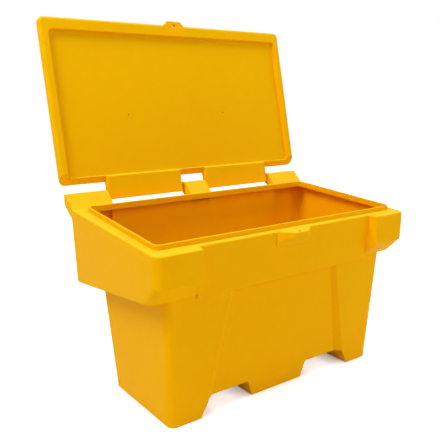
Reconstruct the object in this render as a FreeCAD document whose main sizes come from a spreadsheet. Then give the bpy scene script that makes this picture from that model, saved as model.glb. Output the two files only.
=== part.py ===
import math
import os

import FreeCAD
import Part
import Sketcher

# Grit salt bin: a one-piece moulded tub with fork channels in its foot, a sloping ledge round the
# mouth and three hinge blocks at the back, a double-skinned lid with two hinge tongues, and a
# steel rod with push-on end caps.
# Millimetres, +Z up, front towards -Y, origin at the middle of the footprint on the floor.

SIZES = [
    ("wall", 6, "skin of the tub"),
    ("foot_half", 422, "half width of the foot on the floor"),
    ("foot_front", 174, "front of the foot"),
    ("foot_back", 174, "back of the foot"),
    ("side_draft", 3.16, "lean of the lower side walls"),
    ("front_draft", 3.3, "lean of the lower front wall"),
    ("back_draft", 6.1, "lean of the lower back wall"),
    ("tub_corner", 25, "corner radius of the lower walls"),
    ("hopper_top", 430, "height at which the lower walls end inside the collar"),
    ("channel_outer", 318, "fork channel outer edge on the floor"),
    ("channel_inner", 105, "fork channel inner edge on the floor"),
    ("channel_outer_top", 287, "fork channel outer edge at its roof"),
    ("channel_inner_top", 125, "fork channel inner edge at its roof"),
    ("channel_rise", 55.5, "height of a fork channel"),
    ("bay_half_top", 216, "half width of the sunk front bay at its top"),
    ("bay_half_foot", 303, "half width of the sunk front bay on the floor"),
    ("bay_depth_top", 12, "depth of the sunk front bay at its top"),
    ("bay_depth_foot", 20, "depth of the sunk front bay on the floor"),
    ("bay_over", 8, "height by which the bay runs up behind the panel"),
    ("bay_ramp", 1.375, "run of the bay's side ramps for each unit of depth"),
    ("collar_half", 502.5, "half width of the collar at mid height"),
    ("collar_mid", 565, "height where the collar's half width is taken"),
    ("collar_draft", 1.96, "lean of the collar's side walls"),
    ("collar_front", 248, "front of the corner blocks"),
    ("axis_y", 336.5, "hinge axis behind the middle of the foot"),
    ("axis_z", 616.3, "hinge axis height"),
    ("axis_ahead", 38.5, "hinge axis behind the collar"),
    ("collar_back", "=axis_y - axis_ahead", "back of the collar at its top"),
    ("back_lean", 6, "run of the collar's back from its top to its bottom edge"),
    ("collar_back_foot", "=collar_back - back_lean", "back of the collar at its bottom edge"),
    ("collar_inset", 14, "step of the collar's back between the hinge blocks"),
    ("collar_low_front", 396, "collar bottom edge below the corner blocks"),
    ("collar_low_y", 195, "front of the collar bottom edge"),
    ("collar_low_back", 339.5, "collar bottom edge at the back"),
    ("block_foot", 449, "bottom of the corner blocks' front face"),
    ("collar_corner", 25, "corner radius of the collar"),
    ("axis_rise", 22.7, "hinge axis above the lid's underside"),
    ("lid_gap", 2.04, "gap between the closed lid and the ledge"),
    ("ledge_slope", 4.76, "rise of the ledge towards the back"),
    ("block_splay", 14.5, "lean of the corner blocks' inner sides"),
    ("panel_half", 346, "half width of the panel"),
    ("panel_front_foot", 204, "front of the panel at its bottom edge"),
    ("panel_foot", 389, "bottom edge of the panel"),
    ("panel_lean", 6.22, "lean of the panel"),
    ("shoulder", 26.5, "width of the ledge beside the lip"),
    ("lip_taper", 10, "narrowing of the lip towards the back, on each side"),
    ("lip_half_front", "=collar_half - shoulder", "half width of the lip at the front"),
    ("lip_half_back", "=lip_half_front - lip_taper", "half width of the lip at the back"),
    ("lip_front", 201.6, "front of the lip"),
    ("ledge_behind", 56, "width of the ledge behind the lip"),
    ("lip_back", "=collar_back - ledge_behind", "back of the lip"),
    ("lip_rise", 15, "height of the lip above the ledge"),
    ("lip_corner", 18, "corner radius of the lip"),
    ("lip_round", 2.5, "rounding of the lip"),
    ("collar_round", 5, "rounding of the ledge's outer edge and of the corner blocks"),
    ("collar_foot_round", 8, "rounding of the collar's bottom edge"),
    ("panel_round", 4, "rounding of the panel's bottom edge"),
    ("bay_round", 5, "rounding of the bay's sides and of the fork channels' roofs"),
    ("foot_round", 3, "rounding under the foot"),
    ("hinge_round", 3, "rounding of the hinge blocks"),
    ("lug_half_root", 68, "half width of the padlock lug at the panel"),
    ("lug_half_tip", 25.5, "half width of the padlock lug at its tip"),
    ("lug_nose", 11.7, "plastic between the middle of the lug's hole and its tip"),
    ("lug_edge", 20, "thickness of the padlock lug at its tip"),
    ("lug_web", 45.8, "height of the web under the padlock lug"),
    ("lug_corner", 6, "corner radius of the padlock lug"),
    ("lug_round", 2, "rounding of the padlock lug's edges"),
    ("shackle_bore", 6.25, "radius of the padlock holes"),
    ("hinge_inner", 354, "inner side of the outer hinge blocks"),
    ("hinge_middle", 46, "half width of the middle hinge block"),
    ("ramp_ahead", 68.5, "foot of the hinge blocks' front ramp ahead of the axis"),
    ("ridge_ahead", 24, "ridge of the hinge blocks ahead of the axis"),
    ("ridge_above", 13.7, "ridge of the hinge blocks above the axis"),
    ("hinge_behind", 13.5, "hinge blocks behind the axis"),
    ("rear_above", 9.7, "top of the hinge blocks at the back above the axis"),
    ("rear_below", 12.3, "bottom of the hinge blocks at the back below the axis"),
    ("gusset_ahead", 36.5, "point on the slanting web ahead of the axis"),
    ("gusset_below", 47.3, "that point below the axis"),
    ("ramp_foot", "=axis_y - ramp_ahead", "foot of the hinge blocks' front ramp"),
    ("hinge_ridge_y", "=axis_y - ridge_ahead", "ridge of the hinge blocks"),
    ("hinge_ridge_z", "=axis_z + ridge_above", "height of that ridge"),
    ("hinge_rear", "=axis_y + hinge_behind", "back of the hinge blocks"),
    ("hinge_rear_top", "=axis_z + rear_above", "top of the hinge blocks at the back"),
    ("hinge_rear_foot", "=axis_z - rear_below", "bottom of the hinge blocks at the back"),
    ("gusset_y", "=axis_y - gusset_ahead", "point on the slanting web under the hinge blocks"),
    ("gusset_z", "=axis_z - gusset_below", "height of that point"),
    ("rod_radius", 6, "hinge rod radius"),
    ("rod_play", 0.05, "clearance round the hinge rod"),
    ("boss_wall", 4.3, "wall of the sleeve moulded round the rod in the hinge blocks"),
    ("boss_radius", "=rod_radius + boss_wall", "outside of that sleeve"),
    ("cap_wall", 3.2, "wall of a rod cap"),
    ("cap_radius", "=rod_radius + cap_wall", "rod end cap radius"),
    ("cap_length", 9, "rod end cap length"),
    ("cap_end", 3, "end wall of a rod cap"),
    ("cap_grip", 0.02, "clearance between the rod and a cap's bore"),
    ("cap_play", 0.3, "clearance round a rod cap and behind it"),
    ("cap_sink", 13.5, "depth of the counterbore for a rod cap"),
    ("cap_seat", "=collar_half - cap_sink", "bottom of that counterbore"),
    ("lid_overhang", 7.5, "lid past the collar on each side"),
    ("lid_half", "=collar_half + lid_overhang", "half width of the lid"),
    ("lid_front", 588, "front edge of the lid ahead of the hinge axis"),
    ("lid_back", 36, "back edge of the lid ahead of the hinge axis"),
    ("lid_thick", 34, "thickness of the lid"),
    ("lid_skin", 3.5, "skin of the double-skinned lid"),
    ("lid_side_skin", 5.5, "side wall of the double-skinned lid and of its tongues"),
    ("lid_corner", 19, "corner radius of the lid"),
    ("lid_edge", 11, "rounding of the lid's outer edges"),
    ("lid_lean", 12.83, "lean of the open lid behind the vertical"),
    ("bevel_rise", 30, "height of the bevel over the hinge blocks"),
    ("bevel_run", 35.9, "length of that bevel along the underside"),
    ("recess_border", 27, "rim beside the recess in the underside"),
    ("recess_border_front", 41, "rim in front of the recess"),
    ("recess_border_back", 20, "rim behind the recess"),
    ("recess_half", "=lid_half - recess_border", "half width of the recess"),
    ("recess_back", "=lid_back + recess_border_back", "back edge of the recess ahead of the axis"),
    ("recess_front", "=lid_front - recess_border_front", "front edge of the recess"),
    ("recess_depth", 16.5, "depth of the recess"),
    ("recess_draft", 10.6, "lean of the recess walls"),
    ("recess_corner", 18, "corner radius of the recess"),
    ("recess_round", 3, "rounding of the recess's mouth and floor edges"),
    ("tongue_play_inner", 11, "gap between a hinge tongue and the middle hinge block"),
    ("tongue_play", 7, "gap between a hinge tongue and an outer hinge block"),
    ("tongue_inner", "=hinge_middle + tongue_play_inner", "inner side of a hinge tongue"),
    ("tongue_outer", "=hinge_inner - tongue_play", "outer side of a hinge tongue"),
    ("tongue_reach", 24, "end of a hinge tongue behind the axis"),
    ("tongue_nose", 20, "rounding of a tongue's end"),
    ("tongue_corner", 5, "corner radius of a tongue seen flat"),
    ("tab_half_root", 41, "half width of the lid's tab at the front edge"),
    ("tab_half_tip", 27.5, "half width of the lid's tab at its tip"),
    ("tab_reach", 13, "reach of the tab beyond the front edge"),
    ("tab_thick", 13, "thickness of the tab"),
    ("tab_corner", 6, "corner radius of the tab"),
    ("tab_bay", 30, "depth of the finger bay above the tab"),
    ("tab_hole_back", 2.8, "padlock hole behind the lid's front edge"),
    ("tab_hole", "=lid_front - tab_hole_back", "padlock hole of the lid ahead of the axis"),
    ("lug_hole_y", "=tab_hole * cos(ledge_slope) - axis_rise * sin(ledge_slope) - axis_y",
     "padlock hole of the lug, under the tab's when the lid is closed"),
    ("lug_tip", "=lug_hole_y + lug_nose", "front of the padlock lug"),
    ("vent_radius", 2.8, "radius of the two small holes"),
    ("vent_left", 227, "small hole left of the middle"),
    ("vent_right", 183.5, "small hole right of the middle"),
    ("vent_y", 264, "small holes ahead of the axis"),
    ("vent_post", 9, "radius of the post round a small hole"),
]

doc = FreeCAD.newDocument("GritSaltBin")
sheet = doc.addObject("Spreadsheet::Sheet", "Sizes")
for row, (word, value, note) in enumerate(SIZES, start=1):
    sheet.set("A%d" % row, note)
    sheet.set("B%d" % row, str(value))
    sheet.setAlias("B%d" % row, word)
doc.recompute()


def size(word):
    return float(sheet.get(word))


def named(expression):
    """Write the sheet's name before each size named in braces."""
    return expression.replace("{", "Sizes.").replace("}", "")


def start_body(label):
    body = doc.addObject("PartDesign::Body", label)
    body.Label = label
    return body


def origin_plane(body, role):
    for item in body.Origin.OriginFeatures:
        if item.Role == role:
            return item
    raise ValueError("no plane " + role)


def start_sketch(body, name, role, lift=None, tilt=None):
    """A sketch on an origin plane, moved off it by a size and tilted about the X axis."""
    sketch = body.newObject("Sketcher::SketchObject", name)
    sketch.AttachmentSupport = [(origin_plane(body, role), "")]
    sketch.MapMode = "FlatFace"
    if tilt:
        turn = FreeCAD.Rotation(FreeCAD.Vector(1, 0, 0), 1)
        sketch.AttachmentOffset = FreeCAD.Placement(FreeCAD.Vector(0, 0, 0), turn)
        sketch.setExpression("AttachmentOffset.Rotation.Angle", named(tilt))
    if lift:
        sketch.setExpression("AttachmentOffset.Base.z", named(lift))
    return sketch


def draw_polygon(sketch, corners):
    """Straight-sided outline whose corners are held by sizes."""
    values = []
    for across, up in corners:
        values.append((
            float(sketch.evalExpression(named(across))),
            float(sketch.evalExpression(named(up))),
        ))
    first = sketch.GeometryCount
    count = len(corners)
    for number in range(count):
        start = FreeCAD.Vector(values[number][0], values[number][1], 0)
        following = values[(number + 1) % count]
        end = FreeCAD.Vector(following[0], following[1], 0)
        sketch.addGeometry(Part.LineSegment(start, end), False)
    for number in range(count):
        line = first + number
        before = first + (number - 1) % count
        sketch.addConstraint(Sketcher.Constraint("Coincident", before, 2, line, 1))
    for number, (across, up) in enumerate(corners):
        line = first + number
        held = (("DistanceX", across, values[number][0]), ("DistanceY", up, values[number][1]))
        for kind, text, value in held:
            place = sketch.addConstraint(Sketcher.Constraint(kind, -1, 1, line, 1, value))
            sketch.setExpression("Constraints[%d]" % place, named(text))


def draw_circle(sketch, across, up, radius):
    middle = FreeCAD.Vector(
        float(sketch.evalExpression(named(across))),
        float(sketch.evalExpression(named(up))),
        0,
    )
    reach = float(sketch.evalExpression(named(radius)))
    ring = sketch.addGeometry(Part.Circle(middle, FreeCAD.Vector(0, 0, 1), reach), False)
    held = (("DistanceX", across, middle.x), ("DistanceY", up, middle.y))
    for kind, text, value in held:
        place = sketch.addConstraint(Sketcher.Constraint(kind, -1, 1, ring, 3, value))
        sketch.setExpression("Constraints[%d]" % place, named(text))
    place = sketch.addConstraint(Sketcher.Constraint("Radius", ring, reach))
    sketch.setExpression("Constraints[%d]" % place, named(radius))


def extrude(body, kind, sketch, length, both_ways=False, backwards=False, taper=None):
    """Pad or Pocket of a sketch. A pocket has to take volume away."""
    before = body.Shape.Volume if kind == "PartDesign::Pocket" else None
    feature = body.newObject(kind, sketch.Name + ("Cut" if before else "Solid"))
    feature.Profile = sketch
    feature.setExpression("Length", named(length))
    if both_ways:
        feature.SideType = "Symmetric"
    feature.Reversed = backwards
    if taper:
        feature.setExpression("TaperAngle", named(taper))
    doc.recompute()
    if before and feature.Shape.Volume >= before - 1e-6:
        raise ValueError(feature.Name + " takes nothing away")
    return feature


def pad(body, sketch, length, **options):
    return extrude(body, "PartDesign::Pad", sketch, length, **options)


def pocket(body, sketch, length, **options):
    return extrude(body, "PartDesign::Pocket", sketch, length, **options)


def loft(body, kind, name, sketches):
    feature = body.newObject(kind, name)
    feature.Profile = sketches[0]
    feature.Sections = sketches[1:]
    feature.Ruled = True
    doc.recompute()
    return feature


def lean_wall(body, name, facing, angle):
    """Lean one wall of a straight block outwards about its foot."""
    base = body.Tip
    faces = [
        "Face%d" % (number + 1)
        for number, face in enumerate(base.Shape.Faces)
        if face.normalAt(0, 0).dot(facing) > 0.9
    ]
    feature = body.newObject("PartDesign::Draft", name)
    feature.Base = (base, faces)
    feature.NeutralPlane = (origin_plane(body, "XY_Plane"), [""])
    feature.setExpression("Angle", named(angle))
    feature.Reversed = True
    doc.recompute()
    return feature


def mirror(body, feature, name):
    """Copy a feature to the other side of the middle plane."""
    copy = body.newObject("PartDesign::Mirrored", name)
    copy.Originals = [feature]
    copy.MirrorPlane = (origin_plane(body, "YZ_Plane"), [""])
    body.Tip = copy
    doc.recompute()
    return copy


def pick_edges(shape, wanted):
    return ["Edge%d" % (number + 1) for number, edge in enumerate(shape.Edges) if wanted(edge)]


def round_edges(body, name, wanted, radius):
    """Fillet of the edges that the test picks out of the body as it stands."""
    base = body.Tip
    edges = pick_edges(base.Shape, wanted)
    if not edges:
        raise ValueError(name + " finds no edge")
    feature = body.newObject("PartDesign::Fillet", name)
    feature.Base = (base, edges)
    feature.setExpression("Radius", named(radius))
    doc.recompute()
    if "Invalid" in feature.State:
        raise ValueError(name + " can't be rounded")
    return feature


def along(edge, axis, limit=0.9):
    """True for a straight edge that runs nearly along the axis."""
    if len(edge.Vertexes) != 2:
        return False
    run = edge.Vertexes[1].Point - edge.Vertexes[0].Point
    if edge.Length - run.Length > 1e-4:
        return False
    return abs(run.normalize().dot(axis)) > limit


AXIS_X = FreeCAD.Vector(1, 0, 0)
AXIS_Y = FreeCAD.Vector(0, 1, 0)
AXIS_Z = FreeCAD.Vector(0, 0, 1)


def ledge_at(y, inset="0"):
    """Height of the ledge at a distance behind the middle: the closed lid lies along it."""
    drop = "({axis_rise} + {lid_gap} + " + inset + ") / cos({ledge_slope})"
    return "({axis_z} - " + drop + " - tan({ledge_slope}) * ({axis_y} - (" + y + ")))"


def collar_half_at(z, inset="0"):
    return "({collar_half} + tan({collar_draft}) * (" + z + " - {collar_mid}) - " + inset + ")"


def foot_front_at(z, inset="0"):
    return "({foot_front} + tan({front_draft}) * (" + z + ") - " + inset + ")"


def panel_front_at(z, inset="0"):
    rise = "tan({panel_lean}) * (" + z + " - {panel_foot}) - " + inset + " / cos({panel_lean})"
    return "({panel_front_foot} + " + rise + ")"


def skew(slope):
    """Length of a slanted line for each unit of its run."""
    return "sqrt(1 + (" + slope + ") * (" + slope + "))"


def build_lower_walls(body, inset):
    """Hopper on the footprint, each wall leaning by its own angle, with bay and fork channels."""
    foot = start_sketch(body, body.Name + "Foot", "XY_Plane", lift=inset)
    draw_polygon(foot, [
        ("-({foot_half} - " + inset + ")", "-({foot_front} - " + inset + ")"),
        ("{foot_half} - " + inset, "-({foot_front} - " + inset + ")"),
        ("{foot_half} - " + inset, "{foot_back} - " + inset),
        ("-({foot_half} - " + inset + ")", "{foot_back} - " + inset),
    ])
    pad(body, foot, "{hopper_top} - " + inset)
    for name, facing, angle in (
            ("RightLean", AXIS_X, "{side_draft}"),
            ("LeftLean", -AXIS_X, "{side_draft}"),
            ("FrontLean", -AXIS_Y, "{front_draft}"),
            ("BackLean", AXIS_Y, "{back_draft}")):
        lean_wall(body, body.Name + name, facing, angle)

    # The middle of the front is sunk between two ramps.
    bay_low = start_sketch(body, body.Name + "BayLow", "XY_Plane")
    bay_high = start_sketch(
        body, body.Name + "BayHigh", "XY_Plane", lift="{panel_foot} + {bay_over} + " + inset)
    widening = inset + " * (" + skew("{bay_ramp}") + " - {bay_ramp})"
    for sketch, z, half, depth in (
            (bay_low, "0", "{bay_half_foot}", "{bay_depth_foot}"),
            (bay_high, "{panel_foot} + {bay_over} + " + inset, "{bay_half_top}",
             "{bay_depth_top}")):
        wide = "(" + half + " + " + widening + " + 8 * {bay_ramp})"
        narrow = "(" + half + " + " + widening + " - " + depth + " * {bay_ramp})"
        outside = "-(" + foot_front_at(z, inset) + " + 8)"
        inside = "-(" + foot_front_at(z, inset) + " - " + depth + ")"
        draw_polygon(sketch, [
            ("-" + wide, outside),
            (wide, outside),
            (narrow, inside),
            ("-" + narrow, inside),
        ])
    loft(body, "PartDesign::SubtractiveLoft", body.Name + "FrontBay", [bay_low, bay_high])

    # Two fork channels run through the foot from front to back.
    channels = start_sketch(body, body.Name + "ForkChannels", "XZ_Plane")
    inner = "(({channel_inner_top} - {channel_inner}) / {channel_rise})"
    outer = "(({channel_outer} - {channel_outer_top}) / {channel_rise})"
    inner_shift = " - " + inset + " * " + skew(inner)
    outer_shift = " + " + inset + " * " + skew(outer)
    for side in ("", "-"):
        draw_polygon(channels, [
            (side + "({channel_inner}" + inner_shift + ")", "0"),
            (side + "({channel_outer}" + outer_shift + ")", "0"),
            (side + "({channel_outer_top} - " + outer + " * " + inset + outer_shift + ")",
             "{channel_rise} + " + inset),
            (side + "({channel_inner_top} + " + inner + " * " + inset + inner_shift + ")",
             "{channel_rise} + " + inset),
        ])
    pocket(body, channels, "4 * {hinge_rear}", both_ways=True)


def build_collar(body, inset):
    """Collar drawn from the side, with its stepped back and three hinge blocks."""
    chamfer = "(({block_foot} - {collar_low_front}) / ({collar_front} - {collar_low_y}))"
    under = "(({collar_low_front} - {collar_low_back}) / ({collar_low_y} + {collar_back_foot}))"
    toe = "(" + inset + " * (" + skew(chamfer) + " - " + skew(under) + ") / (" + chamfer
    toe = toe + " - " + under + "))"
    back = "({collar_back} - " + inset + ")"
    back_foot = "({collar_back_foot} - " + inset + ")"
    under_rise = " + " + inset + " * " + skew(under)
    collar_side = start_sketch(body, body.Name + "CollarSide", "YZ_Plane")
    draw_polygon(collar_side, [
        ("-({collar_front} - " + inset + ")",
         "{block_foot} + " + inset + " * (" + skew(chamfer) + " - " + chamfer + ")"),
        ("-({collar_front} - " + inset + ")", ledge_at("-({collar_front} - " + inset + ")", inset)),
        (back, ledge_at(back, inset)),
        (back_foot, "{collar_low_back} + " + under + " * " + inset + under_rise),
        ("-{collar_low_y} + " + toe,
         "{collar_low_front} - " + under + " * " + toe + under_rise),
    ])
    pad(body, collar_side, "2 * {collar_half} + 80", both_ways=True)

    # The back steps in between the outer hinge blocks.
    step_top = "({collar_back} - {collar_inset} - " + inset + ")"
    step_foot = "({collar_back_foot} - {collar_inset} - " + inset + ")"
    step_z = ledge_at(step_top)
    lean = "((" + step_top + " - " + step_foot + ") / (" + step_z + " - {collar_low_back}))"
    above = (step_top + " + " + lean + " * 60", step_z + " + 60")
    below = (step_foot + " - " + lean + " * 30", "{collar_low_back} - 30")
    back_step = start_sketch(body, body.Name + "BackStep", "YZ_Plane")
    draw_polygon(back_step, [
        above,
        ("{collar_back} + 60", above[1]),
        ("{collar_back} + 60", below[1]),
        below,
    ])
    pocket(body, back_step, "2 * ({hinge_inner} + " + inset + ")", both_ways=True)

    # Hinge blocks: one side profile right across, then a gap for each tongue of the lid.
    ramp = "(({hinge_ridge_z} - " + ledge_at("{ramp_foot}") + ") / ({hinge_ridge_y} - {ramp_foot}))"
    crown = "(({hinge_ridge_z} - {hinge_rear_top}) / ({hinge_rear} - {hinge_ridge_y}))"
    web = "(({hinge_rear_foot} - {gusset_z}) / ({hinge_rear} - {gusset_y}))"
    start_y = "({ramp_foot} - 9)"
    start_z = ledge_at("{ramp_foot}") + " - " + ramp + " * 9 - " + inset + " * " + skew(ramp)
    ridge_shift = "(" + inset + " * (" + skew(ramp) + " - " + skew(crown) + ") / ("
    ridge_shift = ridge_shift + ramp + " + " + crown + "))"
    web_y = "({ramp_foot} + 2)"
    web_z = "{gusset_z} + " + web + " * (" + web_y + " - {gusset_y}) + " + inset + " * " + skew(web)
    hinge_side = start_sketch(body, body.Name + "HingeSide", "YZ_Plane")
    draw_polygon(hinge_side, [
        (start_y, start_z),
        ("{hinge_ridge_y} + " + ridge_shift,
         "{hinge_ridge_z} - " + crown + " * " + ridge_shift + " - " + inset + " * " + skew(crown)),
        ("{hinge_rear} - " + inset,
         "{hinge_rear_top} + " + crown + " * " + inset + " - " + inset + " * " + skew(crown)),
        ("{hinge_rear} - " + inset,
         "{hinge_rear_foot} - " + web + " * " + inset + " + " + inset + " * " + skew(web)),
        (web_y, web_z),
    ])
    pad(body, hinge_side, "2 * {collar_half} + 80", both_ways=True)

    gap_front = "({ramp_foot} - 30)"
    drop = inset + " / cos({ledge_slope})"
    nudge = "(" + lean + " * " + drop + " / (1 - " + lean + " * tan({ledge_slope})))"
    ledge_end = "(" + step_top + " - " + nudge + ")"
    tongue_gap = start_sketch(
        body, body.Name + "TongueGap", "YZ_Plane", lift="{hinge_middle} - " + inset)
    draw_polygon(tongue_gap, [
        (gap_front, ledge_at(gap_front, inset)),
        (ledge_end, ledge_at(ledge_end, inset)),
        below,
        ("{hinge_rear} + 30", below[1]),
        ("{hinge_rear} + 30", "{hinge_ridge_z} + 30"),
        (gap_front, "{hinge_ridge_z} + 30"),
    ])
    gap = pocket(
        body, tongue_gap, "{hinge_inner} - {hinge_middle} + 2 * " + inset, backwards=True)
    mirror(body, gap, body.Name + "TongueGapOther")

    # Side walls of the collar and blocks lean out towards the top.
    side_trim = start_sketch(body, body.Name + "SideTrim", "XZ_Plane")
    trim_top = "({hinge_ridge_z} + 60)"
    trim_foot = "({collar_low_back} - 20)"
    for side in ("", "-"):
        draw_polygon(side_trim, [
            (side + collar_half_at(trim_foot, inset), trim_foot),
            (side + "({collar_half} + 60)", trim_foot),
            (side + "({collar_half} + 60)", trim_top),
            (side + collar_half_at(trim_top, inset), trim_top),
        ])
    pocket(body, side_trim, "4 * {hinge_rear}", both_ways=True)


def build_front_panel(body, inset):
    """Panel that stands back between the corner blocks and overhangs the lower wall."""
    panel_face = start_sketch(
        body, body.Name + "PanelFace", "XZ_Plane", lift=panel_front_at("0", inset),
        tilt="{panel_lean}")
    narrowing = "(1 / cos({block_splay}) - tan({block_splay}))"
    half = "({panel_half} + " + inset + " * " + narrowing + ")"
    low = "({panel_foot} - 20) / cos({panel_lean})"
    high = "({axis_z} + 20) / cos({panel_lean})"
    draw_polygon(panel_face, [("-" + half, low), (half, low), (half, high), ("-" + half, high)])
    pocket(body, panel_face, "{collar_front} / 2", backwards=True, taper="{block_splay}")

    heel = "({panel_foot} + 45)"
    panel_side = start_sketch(body, body.Name + "PanelSide", "YZ_Plane")
    draw_polygon(panel_side, [
        ("-" + panel_front_at(heel, inset), heel),
        ("-" + panel_front_at("({panel_foot} + " + inset + ")", inset), "{panel_foot} + " + inset),
        ("-({panel_front_foot} - 30)", "{panel_foot} + " + inset),
        ("-({panel_front_foot} - 30)", heel),
    ])
    pad(body, panel_side, "2 * ({panel_half} - " + inset + ")", both_ways=True)


def build_lip(body, inset, extra):
    """Upstand round the mouth, square to the sloping ledge."""
    lip = start_sketch(
        body, body.Name + "Lip", "XY_Plane", lift=ledge_at("0", inset), tilt="{ledge_slope}")
    front = "-({lip_front} - " + inset + ") / cos({ledge_slope})"
    back = "({lip_back} - " + inset + ") / cos({ledge_slope})"
    draw_polygon(lip, [
        ("-({lip_half_front} - " + inset + ")", front),
        ("{lip_half_front} - " + inset, front),
        ("{lip_half_back} - " + inset, back),
        ("-({lip_half_back} - " + inset + ")", back),
    ])
    pad(body, lip, "{lip_rise}" + extra)


def round_form(body, inset):
    """Corner radii of the form. Inside the skin they are smaller by its thickness."""

    def lip_corner(edge):
        middle = edge.CenterOfMass
        if not along(edge, AXIS_Z) or middle.z < ledge_height(middle.y) - size("wall"):
            return False
        reach = size("lip_half_back") - size("wall") - 6
        return reach < abs(middle.x) < size("lip_half_front") + 1 and middle.y < size("lip_back") + 1

    def lower_corner(edge):
        middle = edge.CenterOfMass
        near = size("foot_half") - size("wall") - 4 < abs(middle.x) < size("collar_half") - 30
        return along(edge, AXIS_Z) and near and edge.Length > 100

    def collar_corner(edge):
        middle = edge.CenterOfMass
        if abs(middle.x) < size("collar_half") - size("wall") - 12:
            return False
        return along(edge, AXIS_Z, 0.6 if middle.y < 0 else 0.95)

    round_edges(body, body.Name + "LipCorners", lip_corner, "{lip_corner} - " + inset)
    round_edges(body, body.Name + "LowerCorners", lower_corner, "{tub_corner} - " + inset)
    round_edges(body, body.Name + "CollarCorners", collar_corner, "{collar_corner} - " + inset)


def ledge_height(y):
    slope = math.radians(size("ledge_slope"))
    drop = (size("axis_rise") + size("lid_gap")) / math.cos(slope)
    return size("axis_z") - drop - math.tan(slope) * (size("axis_y") - y)


def build_form(body, inset, extra):
    build_lower_walls(body, inset)
    build_collar(body, inset)
    build_front_panel(body, inset)
    build_lip(body, inset, extra)
    round_form(body, inset)


def soften_form(body):
    """Round the outer edges of the form as a hot mould leaves them."""

    def ledge_rim(edge):
        middle = edge.CenterOfMass
        if abs(middle.z - ledge_height(middle.y)) > 0.5 or (along(edge, AXIS_X) and middle.y > 0):
            return False
        return abs(middle.x) > size("lip_half_front") + 4 or middle.y < -size("lip_front") - 4

    def ramp_side(edge):
        middle = edge.CenterOfMass
        return (size("ramp_foot") < middle.y < size("hinge_ridge_y") and
                abs(middle.x) > size("collar_half") - 1 and
                middle.z > ledge_height(middle.y) + 5)

    def block_edge(edge):
        middle = edge.CenterOfMass
        if edge.Length < 40:
            return False
        if abs(middle.z - size("block_foot")) < 0.5:
            return along(edge, AXIS_X) and abs(middle.y + size("collar_front")) < 0.5
        beside = 0.5 < abs(middle.x) - size("panel_half") < 20
        return beside and middle.y < -size("panel_front_foot") - 8

    def collar_foot(edge):
        middle = edge.CenterOfMass
        low = abs(middle.z - size("collar_low_front")) < 0.5
        return low and along(edge, AXIS_X) and abs(middle.y + size("collar_low_y")) < 0.5

    def panel_foot(edge):
        middle = edge.CenterOfMass
        low = abs(middle.z - size("panel_foot")) < 0.5 and abs(middle.x) < 1
        return low and edge.Length > 2 * size("panel_half") - 20

    def bay_side(edge):
        middle = edge.CenterOfMass
        height = size("panel_foot")
        return (middle.y < 0 and edge.Length > height / 2 and
                0.3 * height < middle.z < 0.8 * height and
                size("channel_inner") < abs(middle.x) < size("bay_half_foot"))

    def channel_roof(edge):
        middle = edge.CenterOfMass
        return along(edge, AXIS_Y) and abs(middle.z - size("channel_rise")) < 1

    def foot_edge(edge):
        return all(abs(corner.Z) < 0.1 for corner in edge.Vertexes)

    def hinge_edge(edge):
        middle = edge.CenterOfMass
        if middle.y < size("ramp_foot") + 12 or middle.z < size("gusset_z") + 10:
            return False
        if middle.y < size("hinge_ridge_y") and abs(middle.x) > size("cap_seat"):
            return False
        if along(edge, AXIS_Z, 0.99):
            return abs(middle.x) < size("hinge_inner") + 1 and middle.y > size("axis_y")
        return edge.Length > 8 and middle.z > ledge_height(middle.y) - 8

    def collar_edge(edge):
        return ledge_rim(edge) or ramp_side(edge) or block_edge(edge)

    round_edges(body, "CollarEdges", collar_edge, "{collar_round}")
    round_edges(body, "CollarFoot", collar_foot, "{collar_foot_round}")
    round_edges(body, "PanelFoot", panel_foot, "{panel_round}")
    round_edges(body, "BaySides", bay_side, "{bay_round}")
    round_edges(body, "ChannelRoofs", channel_roof, "{bay_round}")
    round_edges(body, "FootEdges", foot_edge, "{foot_round}")
    round_edges(body, "HingeBlockEdges", hinge_edge, "{hinge_round}")


tub = start_body("tub")
build_form(tub, "0", "")
soften_form(tub)

# The room inside follows the outer form at one skin's distance and opens through the lip.
room = start_body("room")
build_form(room, "{wall}", " + {wall} + 5")
hollow = tub.newObject("PartDesign::Boolean", "Hollow")
hollow.Type = "Cut"
hollow.addObject(room)
doc.recompute()


def lip_edge(edge):
    middle = edge.CenterOfMass
    rise = size("lip_rise") / math.cos(math.radians(size("ledge_slope")))
    return abs(middle.z - ledge_height(middle.y) - rise) < 0.3


round_edges(tub, "LipEdges", lip_edge, "{lip_round}")

# Padlock lug: a flat plate level with the ledge on a web that tapers down to the panel.
lug_foot = "(" + ledge_at("-{collar_front}") + " - {lug_web})"
lug_root = "({panel_front_foot} + 4)"
lug_face = panel_front_at(ledge_at("-{panel_front_foot}"))
lug = start_sketch(tub, "Lug", "XY_Plane", lift="{axis_z}")
draw_polygon(lug, [
    ("-{lug_half_tip}", "-{lug_tip}"),
    ("{lug_half_tip}", "-{lug_tip}"),
    ("{lug_half_root}", "-" + lug_face),
    ("{lug_half_root}", "-" + lug_root),
    ("-{lug_half_root}", "-" + lug_root),
    ("-{lug_half_root}", "-" + lug_face),
])
pad(tub, lug, "{axis_z} - " + lug_foot, backwards=True)

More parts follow.
